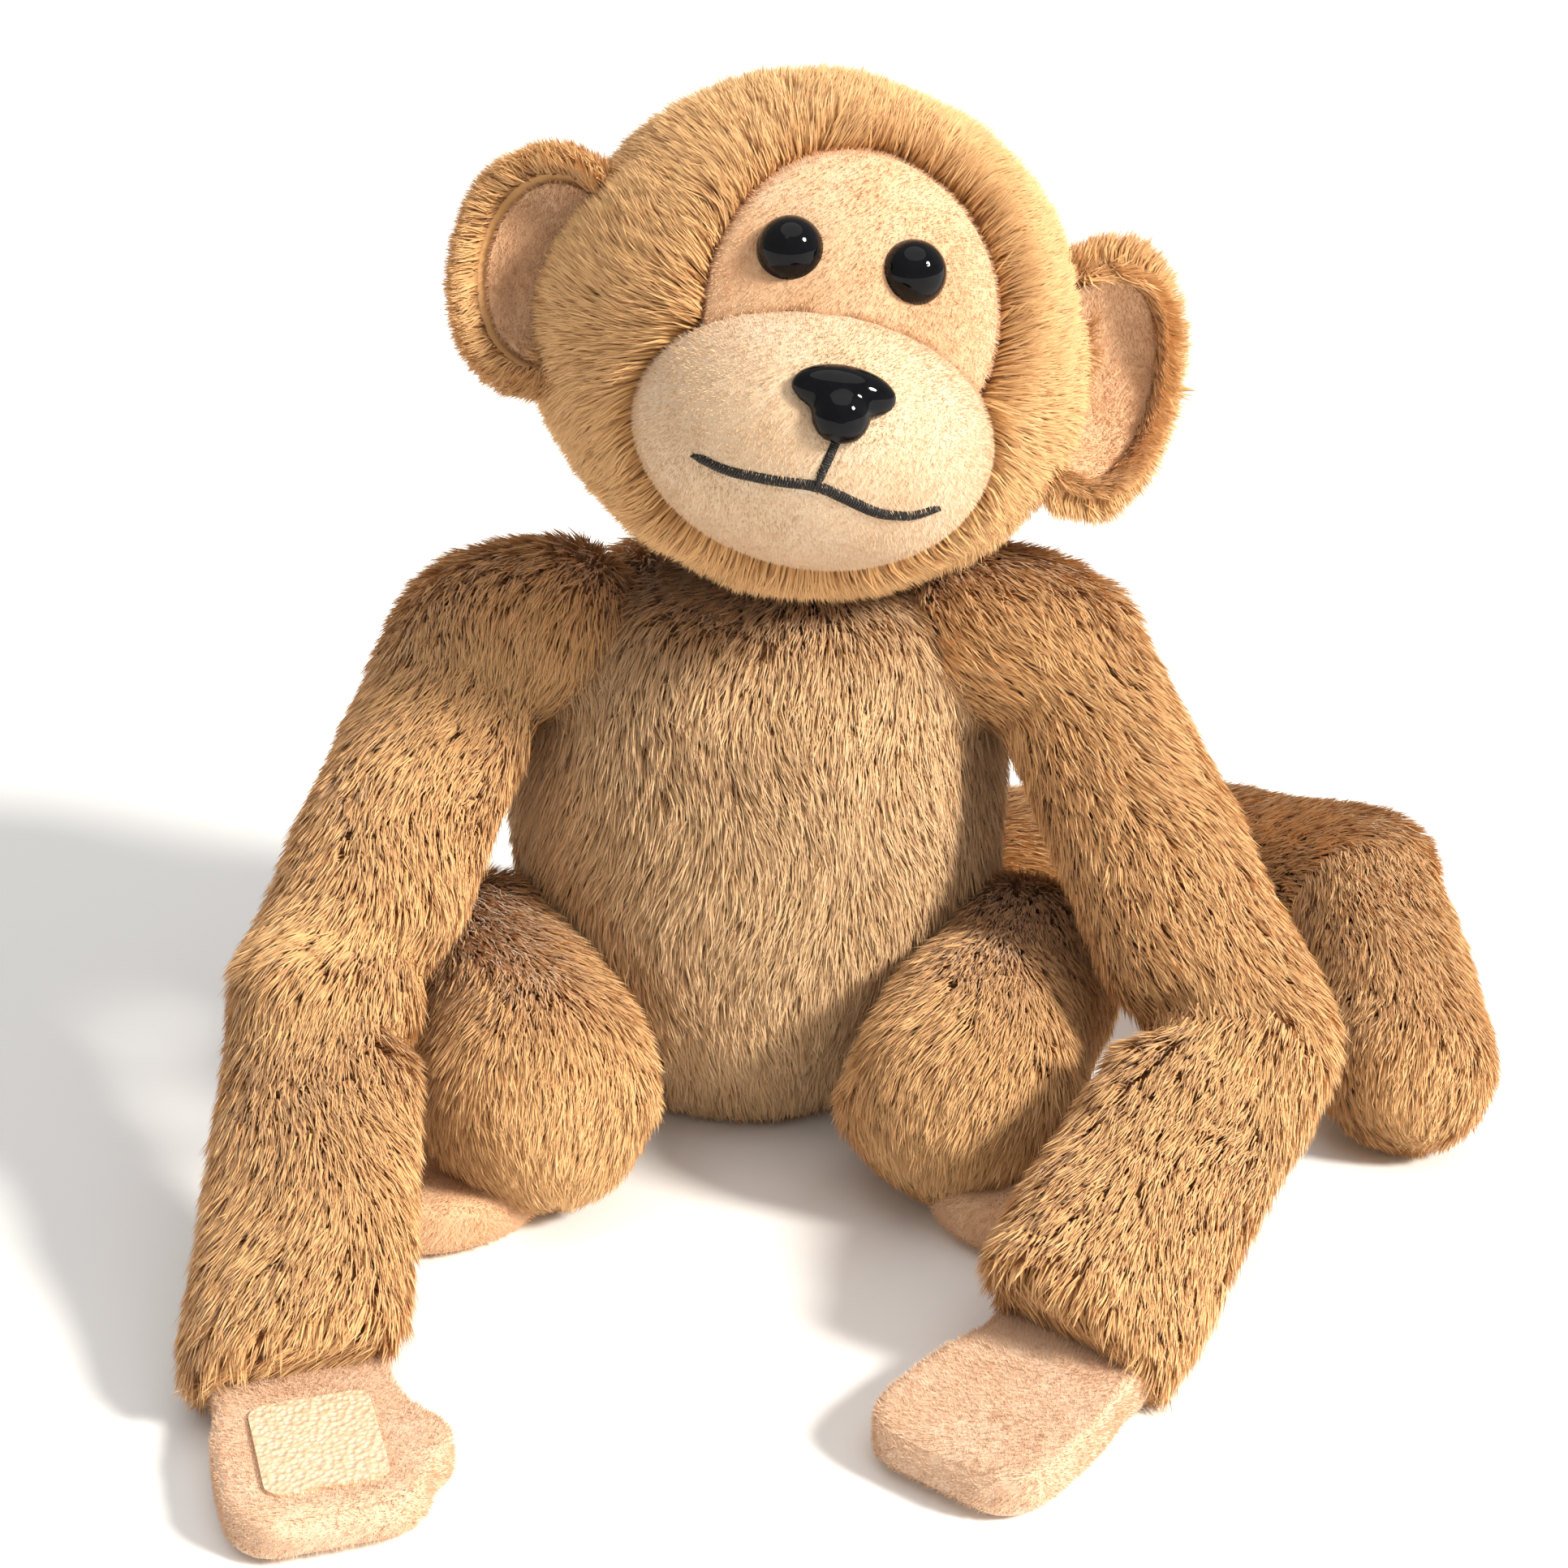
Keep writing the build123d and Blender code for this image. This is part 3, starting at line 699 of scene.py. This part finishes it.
def build_torso():
    base = soft_form("torso_body", nodes_of("torso_skin"), 2.6 * MM, 8, FUR_SINK, CHEST_PADS, ripple=0.9)
    mark_map(base, 0.4, 0.5)
    dress(base, BELLY_FUR, "fur", "torso", "torso_skin", "torso_stuffing", fill=0.85)
    clear_of_head = outside_ball(HEAD_CENTRE, BARE_UNDER_HEAD)
    for part, front in (("front", True), ("back", False)):
        def keep(points, normals, front=front):
            side = (points[:, 1] < TORSO_SPLIT) == front
            return side & clear_of_head(points) & (points[:, 2] > LOWEST_ROOT["torso"])
        name = "torso_fur_" + part
        fur = grow_fur(name, base, HAIRS[name], downward, SEEDS["torso"] + front, keep,
                       lay=(36, 76), length=LONG_FUR, tone=0.55)
        dress(fur, BELLY_FUR if front else FUR, "fur", "torso")


def build_neck():
    base = soft_form("neck_body", nodes_of("neck_stuffing"), 2.0 * MM, 3, 0.5 * MM)
    mark_map(base, 0.4, 0.3)
    dress(base, FUR, "fur", "neck", "neck_stuffing", fill=0.8)


# ---- head

def build_head():
    base = unit_ball("head_body", 96, 64)
    for vert in base.data.vertices:
        place = Vector(vert.co)
        swell = math.exp(-((place.z - CHEEK_HEIGHT) / CHEEK_SPREAD) ** 2)
        cheek = 1 + CHEEK_SWELL * swell * abs(place.x)
        place = Vector((place.x * HEAD_HALF.x * cheek, place.y * HEAD_HALF.y, place.z * HEAD_HALF.z))
        inside = 1.05 - face_share(place.x, place.z)
        if place.y < 0 and inside > 0:
            place.y += FACE_STEP * min(1, inside / 0.1)
        vert.co = from_head(place)
    spots = np.array([vert.co for vert in base.data.vertices])
    for vert, rise in zip(base.data.vertices, (wave(spots, 13 * MM) * HEAD_RIPPLE * MM).tolist()):
        vert.co += vert.normal * rise
    base.data.shade_smooth()
    mark_map(base, 0.45, 0.5)
    dress(base, FUR, "fur", "head", "head_fur_skin", "head_stuffing", fill=0.9)
    for part, front in (("front", True), ("back", False)):
        def keep(points, normals, front=front):
            local = head_places(points)
            side = (local[:, 1] < HEAD_SPLIT) == front
            return side & ~on_face(points, -0.5 * MM)
        name = "head_fur_" + part
        fur = grow_fur(name, base, HAIRS[name], head_comb, SEEDS["head"] + front, keep,
                       lay=(30, 62), length=LONG_FUR, tone=0.62, swirl=0.9)
        dress(fur, FUR, "fur", "head")


def face_nap(points, normals):
    """The nap of the face, the muzzle and the ear linings lies down."""
    return np.tile([0.1, -0.3, -1.0], (len(points), 1))


def build_face():
    # what lies beyond the seam line is tucked in under the fur
    panel = soft_form("face_velour", nodes_of("face_panel"), 1.2 * MM, 5, -0.2 * MM)
    for vert in panel.data.vertices:
        local = HEAD_TURN.transposed() @ (vert.co - HEAD_CENTRE)
        beyond = face_share(local.x, local.z) - 1
        if beyond > 0:
            local.y += FACE_RIM_TUCK * min(1, beyond / 0.05)
            vert.co = from_head(local)
    dress(panel, PEACH, "peach_plush", "head", "face_panel", fill=0.5)
    pile = grow_velour("face_pile", panel, HAIRS["face_pile"], face_nap, SEEDS["face"])
    dress(pile, PEACH_PILE, "peach_plush", "head")
    muzzle = soft_form("muzzle_velour", nodes_of("muzzle_panel"), 1.5 * MM, 6, -0.4 * MM)
    dress(muzzle, CREAM, "muzzle_plush", "head", "muzzle_panel", "muzzle_stuffing", fill=0.9)
    pile = grow_velour("muzzle_pile", muzzle, HAIRS["muzzle_pile"], face_nap, SEEDS["muzzle"])
    dress(pile, CREAM_PILE, "muzzle_plush", "head")
    return muzzle


def build_nose():
    nose = soft_form("nose_gloss", nodes_of("nose"), 0.6 * MM, 8, -0.2 * MM)
    for vert in nose.data.vertices:
        vert.co += HEAD_TURN @ NOSE_SHIFT * MM
    dress(nose, BLACK, "gloss_black", "head", "nose")


def stitches(name, muzzle, route, width, body, *replaced):
    """Satin stitch: short threads laid side by side across a route on the muzzle."""
    tree = BVHTree.FromObject(muzzle, bpy.context.evaluated_depsgraph_get())
    toward_back = HEAD_TURN @ Vector((0, 1, 0))
    work = bmesh.new()
    count = len(route) - 1
    for i, place in enumerate(route):
        start = from_head(Vector((place[0], -0.12, place[1])))
        spot, normal, _, _ = tree.ray_cast(start, toward_back)
        if spot is None:
            continue
        ahead = route[min(i + 1, count)]
        behind = route[max(i - 1, 0)]
        run = HEAD_TURN @ Vector((ahead[0] - behind[0], 0, ahead[1] - behind[1]))
        run = (run - normal * run.dot(normal)).normalized()
        across = normal.cross(run)
        ends = min(1.0, 0.45 + 0.55 * min(i, count - i) / 3)
        half = width / 2 * ends
        ring = []
        for j in range(5):
            share = -1 + j / 2
            rise = (1 - share * share) * 0.55 * MM + 0.05 * MM
            middle = spot + across * share * half + normal * rise + run * share * 0.12 * MM
            ring.append([
                work.verts.new(middle + run * 0.26 * MM * math.cos(a) + normal * 0.22 * MM * math.sin(a))
                for a in THREAD_CORNERS
            ])
        sides = len(THREAD_CORNERS)
        for row, after in zip(ring, ring[1:]):
            for k in range(sides):
                work.faces.new((row[k], row[(k + 1) % sides], after[(k + 1) % sides], after[k]))
        work.faces.new(ring[0][::-1])
        work.faces.new(ring[-1])
    bmesh.ops.recalc_face_normals(work, faces=work.faces)
    mesh = bpy.data.meshes.new(name)
    work.to_mesh(mesh)
    work.free()
    mesh.shade_smooth()
    return dress(in_scene(name, mesh), THREAD, "black_thread", body, *replaced)


def build_mouth(muzzle):
    across = np.linspace(SMILE[0][0], SMILE[-1][0], SMILE_PLACES)
    heights = np.interp(across, *zip(*SMILE))
    padded = np.pad(heights, SMILE_SMOOTHING // 2, mode="edge")
    heights = np.convolve(padded, np.ones(SMILE_SMOOTHING) / SMILE_SMOOTHING, mode="valid")
    smile = [(x * MM, z * MM) for x, z in zip(across.tolist(), heights.tolist())]
    stitches("mouth_embroidery", muzzle, smile, 2.0 * MM, "head", "mouth_stitching")
    lip = [((0.9 - 2.2 * i / LIP_PLACES) * MM, (-14.5 - 9.8 * i / LIP_PLACES) * MM)
           for i in range(LIP_PLACES + 1)]
    stitches("lip_embroidery", muzzle, lip, 1.6 * MM, "head", "lip_stitching")


def build_ear(side):
    sign = -1 if side == "right" else 1
    body = side + "_ear"
    root = HEAD_TURN @ Vector((sign * EAR_ROOT_ACROSS, 0, EAR_ROOT_UP)) * MM + HEAD_CENTRE
    lining = soft_form(body + "_velour", nodes_of(body + "_lining"), 0.9 * MM, 4, 0.0)
    back = soft_form(body + "_body", nodes_of(body + "_back"), 1.0 * MM, 4, 0.2 * MM)
    if side == "right":
        for piece in (lining, back):
            for vert in piece.data.vertices:
                vert.co = root + (vert.co - root) * RIGHT_EAR_SHARE
    dress(lining, PEACH, "peach_plush", body, body + "_lining", fill=0.3)
    mark_map(back, 0.45, 0.5)
    dress(back, FUR, "fur", body, body + "_back", fill=0.4)
    pile = grow_velour(body + "_pile", lining, HAIRS["ear_pile"], face_nap, SEEDS["ear_pile"] + sign)
    dress(pile, PEACH_PILE, "peach_plush", body)
    tree = BVHTree.FromObject(lining, bpy.context.evaluated_depsgraph_get())

    def keep(points, normals):
        free = [tree.find_nearest(Vector(point))[3] > CLEAR_OF_LINING for point in points]
        backward = (normals @ np.array(HEAD_TURN))[:, 1] > 0.05
        return np.array(free) | backward
    fur = grow_fur(body + "_fur", back, HAIRS["ear_fur"], away_from(root), SEEDS["ear_fur"] + sign, keep,
                   lay=(40, 74), length=EAR_FUR, tone=0.6)
    dress(fur, FUR, "fur", body)


# ---- arms, hands, legs, feet

def build_arm(side):
    joints = ("_shoulder_swing", "_elbow_bend", "_wrist_fold")
    shoulder, elbow, wrist = (joint_place(side + joint) for joint in joints)
    inward = Vector(JOINTS[side + "_shoulder_swing"]["axis"]) * (-1 if side == "right" else 1)
    upper, fore = side + "_upper_arm", side + "_forearm"
    pads = [(elbow / MM, ELBOW_PAD)]
    pads += [((shoulder + inward * reach) / MM, (half, half, half)) for reach, half in SHOULDER_REACH]
    skins = nodes_of(upper + "_skin", fore + "_skin")
    base = soft_form(side + "_arm_body", skins, 2.2 * MM, 8, ARM_SINK, pads, ripple=0.8)
    mark_map(base, 0.45, 0.5)
    dress(base, FUR, "fur", None, upper + "_skin", upper + "_stuffing", fore + "_skin", fore + "_stuffing",
          fill=0.8)
    past_wrist = wrist + (wrist - elbow).normalized() * COMB_PAST_WRIST * MM

    def keep(points, normals):
        beyond = (points - np.array(wrist)) @ np.array((wrist - elbow).normalized())
        return (beyond < SLEEVE_PAST_WRIST * MM) & (points[:, 2] > LOWEST_ROOT["arm"])
    fur = grow_fur(side + "_arm_fur", base, HAIRS["arm_fur"], along_route([shoulder, elbow, past_wrist]),
                   SEEDS["arm"] + SIDES.index(side), keep, lay=(34, 72), tone=0.6)
    dress(fur, FUR, "fur", None)
    for piece in (base, fur):
        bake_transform(piece)


def build_hand(side):
    names = [side + "_hand_" + part for part in ("palm", "back", "stuffing")]
    hand = soft_form(side + "_hand_velour", nodes_of(*names), 1.2 * MM, 7, 0.0)
    fold = joint_place(side + "_wrist_fold")
    across = -Vector(JOINTS[side + "_wrist_fold"]["axis"])
    forward = Vector((0, 0, 1)).cross(across)
    for vert in hand.data.vertices:
        a = (vert.co - fold).dot(across) / MM
        b = (vert.co - fold).dot(forward) / MM
        top = vert.co.z > 5 * MM
        if top and side == "left":
            vert.co.z += HAND_CROWN * MM * max(0.0, 1 - (a / 19) ** 2) * max(0.0, 1 - ((b - 18) / 26) ** 2)
        if top and side == "right":
            thumb = math.exp(-((a - 16) / 5) ** 2 - ((b - 19) / 9) ** 2)
            crease = math.exp(-((a - 11.9) / 1.1) ** 2 - ((b - 18) / 9) ** 4)
            rim = math.exp(-((b - 37) / 5) ** 2)
            vert.co.z += (THUMB_RISE * thumb - THUMB_CREASE * crease + HAND_RIM * rim) * MM
        taper = WRIST_TAPER * math.exp(-((b + 2) / 9) ** 2)
        vert.co -= across * (a * taper * MM)
    dress(hand, HAND, "peach_plush", side + "_hand", *names, fill=0.5)
    pile = grow_velour(side + "_hand_pile", hand, HAIRS["hand_pile"], away_from(fold - Vector((0, 0, 0.05))),
                       SEEDS["hand"] + SIDES.index(side), above("hand"))
    dress(pile, HAND_PILE, "peach_plush", side + "_hand")
    if side == "left":
        build_cuff(fold, across, forward)


def build_cuff(fold, across, forward):
    """The turned-back edge of the left hand's cloth, a soft roll across the wrist."""
    cuff = unit_ball("left_cuff", 40, 24)
    for vert in cuff.data.vertices:
        x, y, z = vert.co
        square = abs(x) ** CUFF_SQUARE * (1 if x > 0 else -1)
        along = CUFF_AHEAD + y * CUFF_HALF_DEPTH + CUFF_WAVER * math.sin(x * 7)
        height = CUFF_LEVEL + z * CUFF_HALF_HEIGHT + CUFF_CROWN * (1 - x * x)
        place = fold + across * (square * CUFF_HALF_WIDTH * MM) + forward * (along * MM)
        vert.co = Vector((place.x, place.y, height * MM))
    cuff.data.shade_smooth()
    dress(cuff, CUFF, "peach_plush", "left_hand", fill=0.4)
    pile = grow_velour("left_cuff_pile", cuff, HAIRS["cuff_pile"], away_from(fold), SEEDS["cuff"])
    dress(pile, CUFF_PILE, "peach_plush", "left_hand")


def build_leg(side):
    root, end = joint_place(side + "_hip_turn"), joint_place(side + "_ankle_tip")
    base = soft_form(side + "_leg_body", nodes_of(side + "_leg_skin"), 2.2 * MM, 6, ARM_SINK, ripple=1.2)
    mark_map(base, 0.42, 0.5)
    dress(base, FUR, "fur", side + "_leg", side + "_leg_skin", side + "_leg_stuffing", fill=0.85)
    ahead = end + (end - root).normalized() * LEG_COMB_AHEAD * MM - Vector((0, 0, LEG_COMB_DROP * MM))
    fur = grow_fur(side + "_leg_fur", base, HAIRS["leg_fur"], toward(ahead), SEEDS["leg"] + SIDES.index(side),
                   above("leg"), lay=(38, 76), tone=0.55)
    dress(fur, FUR, "fur", side + "_leg")


def build_foot(side):
    names = [side + "_foot_" + part for part in ("top", "sole", "stuffing")]
    foot = soft_form(side + "_foot_velour", nodes_of(*names), 1.3 * MM, 6, 0.0)
    middle = middle_of(side + "_foot_top")
    if side == "left":
        for vert in foot.data.vertices:
            share = max(0.0, (vert.co.x - middle.x + LEFT_FOOT_RISE_START) / LEFT_FOOT_RISE_RUN)
            vert.co.z += LEFT_FOOT_RISE * share ** 1.5
    dress(foot, PEACH, "peach_plush", side + "_foot", *names, fill=0.6)
    pile = grow_velour(side + "_foot_pile", foot, HAIRS["foot_pile"], away_from(middle),
                       SEEDS["foot"] + SIDES.index(side), above("foot"))
    dress(pile, PEACH_PILE, "peach_plush", side + "_foot")


# ---- tail

def cut_at(source, name, point, normal, keep_front):
    """A closed copy of one side of a cut."""
    copy = source.copy()
    copy.data = source.data.copy()
    copy.name = copy.data.name = name
    bpy.context.scene.collection.objects.link(copy)
    work = bmesh.new()
    work.from_mesh(copy.data)
    geometry = work.verts[:] + work.edges[:] + work.faces[:]
    cut = bmesh.ops.bisect_plane(work, geom=geometry, plane_co=point, plane_no=normal,
                                 clear_outer=not keep_front, clear_inner=keep_front)
    rim = [g for g in cut["geom_cut"] if isinstance(g, bmesh.types.BMEdge)]
    bmesh.ops.contextual_create(work, geom=rim)
    work.to_mesh(copy.data)
    work.free()
    copy.data.shade_smooth()
    return copy


def build_tail():
    parts = ("tail_root", "tail_middle", "tail_tip")
    route = [joint_place("tail_swing"), joint_place("tail_middle_curl"), joint_place("tail_tip_curl")]
    route.append(middle_of("tail_tip_skin") + TAIL_END * MM)
    pads = [(place / MM, half) for place, half in zip(route[1:3], TAIL_PADS)]
    skins = nodes_of(*(part + "_skin" for part in parts))
    whole = soft_form("tail_whole", skins, 2.2 * MM, 8, FUR_SINK, pads, ripple=0.8)
    mark_map(whole, 0.42, 0.5)
    middle = (route[1] + route[2]) / 2
    run = (route[2] - route[1]).normalized()
    comb = along_route(route)
    for i, name in enumerate(("tail_rear", "tail_fore")):
        base = cut_at(whole, name + "_body", middle, run, i == 1)
        covered = [parts[0] + "_skin", parts[0] + "_stuffing", parts[1] + "_skin"] if i == 0 else [
            parts[2] + "_skin", parts[2] + "_stuffing", parts[1] + "_stuffing"]
        dress(base, FUR, "fur", None, *covered, fill=0.8)

        def keep(points, normals, front=i == 1):
            ahead = (points - np.array(middle)) @ np.array(run) > 0
            return (ahead == front) & (points[:, 2] > LOWEST_ROOT["tail"])
        fur = grow_fur(name + "_fur", whole, HAIRS["tail_fur"], comb, SEEDS["tail"] + i, keep,
                       lay=(36, 72), tone=0.55)
        dress(fur, FUR, "fur", None)
        for piece in (base, fur):
            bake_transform(piece)
    bpy.data.objects.remove(whole)


# ---- carried-over hard parts

def finish_nodes():
    finishes = {
        "right_eye": BLACK, "left_eye": BLACK, "right_eye_washer": WASHER, "left_eye_washer": WASHER,
        "nose_washer": WASHER, "right_palm_patch": HOOKS, "left_palm_patch": HOOKS,
    }
    for name, material in finishes.items():
        mesh = frame["nodes"][name].data
        mesh.materials.clear()
        mesh.materials.append(material)


# ---- room

def build_room():
    bpy.ops.object.select_all(action="DESELECT")
    bpy.ops.mesh.primitive_plane_add(size=9, location=(0, 2.5, 0))
    floor = bpy.context.object
    floor.name = "floor"
    material, nodes, links, surface = shader("pale_floor")
    place = add(nodes, "TexCoord")
    mottle = add(nodes, "TexNoise", Scale=3.0, Detail=2.0)
    links.new(place.outputs["Object"], mottle.inputs["Vector"])
    tone = ramp(nodes, [(0.3, (0.95, 0.95, 0.955)), (0.7, (0.98, 0.98, 0.98))])
    links.new(mottle.outputs["Fac"], tone.inputs["Fac"])
    links.new(tone.outputs["Color"], surface.inputs["Base Color"])
    surface.inputs["Roughness"].default_value = 0.7
    floor.data.materials.append(material)

    world = bpy.data.worlds.new("studio")
    bpy.context.scene.world = world
    world.use_nodes = True
    sky = world.node_tree.nodes["Background"]
    sky.inputs["Color"].default_value = (1, 0.99, 0.97, 1)
    seen = world.node_tree.nodes.new("ShaderNodeLightPath")
    strength = world.node_tree.nodes.new("ShaderNodeMapRange")
    set_inputs(strength, To_Min=SKY_AS_LIGHT, To_Max=SKY_AS_SEEN)
    world.node_tree.links.new(seen.outputs["Is Camera Ray"], strength.inputs["Value"])
    world.node_tree.links.new(strength.outputs["Result"], sky.inputs["Strength"])

    def lamp(name, place, softness, power, colour):
        light = bpy.data.lights.new(name, "SUN")
        light.angle = math.radians(softness)
        light.energy = power
        light.color = colour
        obj = in_scene(name, light)
        obj.location = place
        obj.rotation_euler = (-Vector(place)).to_track_quat("-Z", "Y").to_euler()
    lamp(*KEY_LAMP)
    lamp(*TOP_LAMP)

    lens = bpy.data.cameras.new("camera")
    lens.lens = CAMERA_LENS
    lens.sensor_width = CAMERA_SENSOR
    lens.clip_start = 0.01
    camera = in_scene("camera", lens)
    camera.location = CAMERA_PLACE
    camera.rotation_euler = (math.radians(CAMERA_TILT), 0, 0)
    bpy.context.scene.camera = camera
    bpy.context.scene.view_settings.view_transform = "Standard"


build_room()
build_torso()
build_neck()
build_head()
muzzle_piece = build_face()
build_nose()
build_mouth(muzzle_piece)
for side_name in SIDES:
    build_ear(side_name)
    build_arm(side_name)
    build_hand(side_name)
    build_leg(side_name)
    build_foot(side_name)
build_tail()
finish_nodes()
